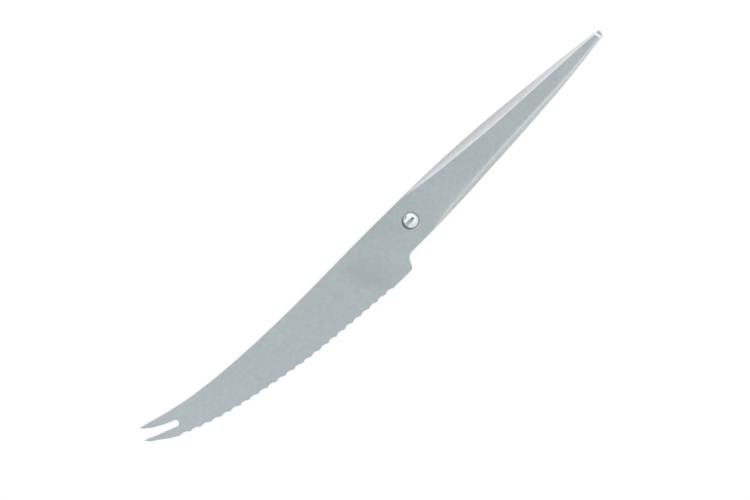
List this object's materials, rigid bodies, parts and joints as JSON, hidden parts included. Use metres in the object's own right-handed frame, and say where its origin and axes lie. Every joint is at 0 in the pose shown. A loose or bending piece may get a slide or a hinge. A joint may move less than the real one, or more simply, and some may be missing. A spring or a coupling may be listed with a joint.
{
  "type": "cheese knife",
  "caption": "Fork-tipped cheese knife in satin steel with a serrated slicing blade, a domed finger stop through the neck and a tapering faceted hollow handle.",
  "frame": {"origin": "middle of the whole knife's bounding box, on the mid-plane of its thickness", "axes": "+X along the knife from the fork tip to the butt, +Y from the cutting edge to the spine, +Z through the thickness towards the plain left face, so the knife lies on its right side"},
  "size_m": [0.2374, 0.0302, 0.0112],
  "materials": {
    "satin_steel": "fine bead-blasted satin, uniform over blade, neck and handle",
    "polished_steel": "mirror polished",
    "filling": "cured mineral-filled resin, hidden inside the handle"
  },
  "bodies": {
    "root": {"blade": "satin_steel", "finger_stop": "polished_steel", "handle_shell_left": "satin_steel", "handle_shell_right": "satin_steel", "handle_filling": "filling", "butt_cap": "polished_steel"}
  },
  "joints": []
}
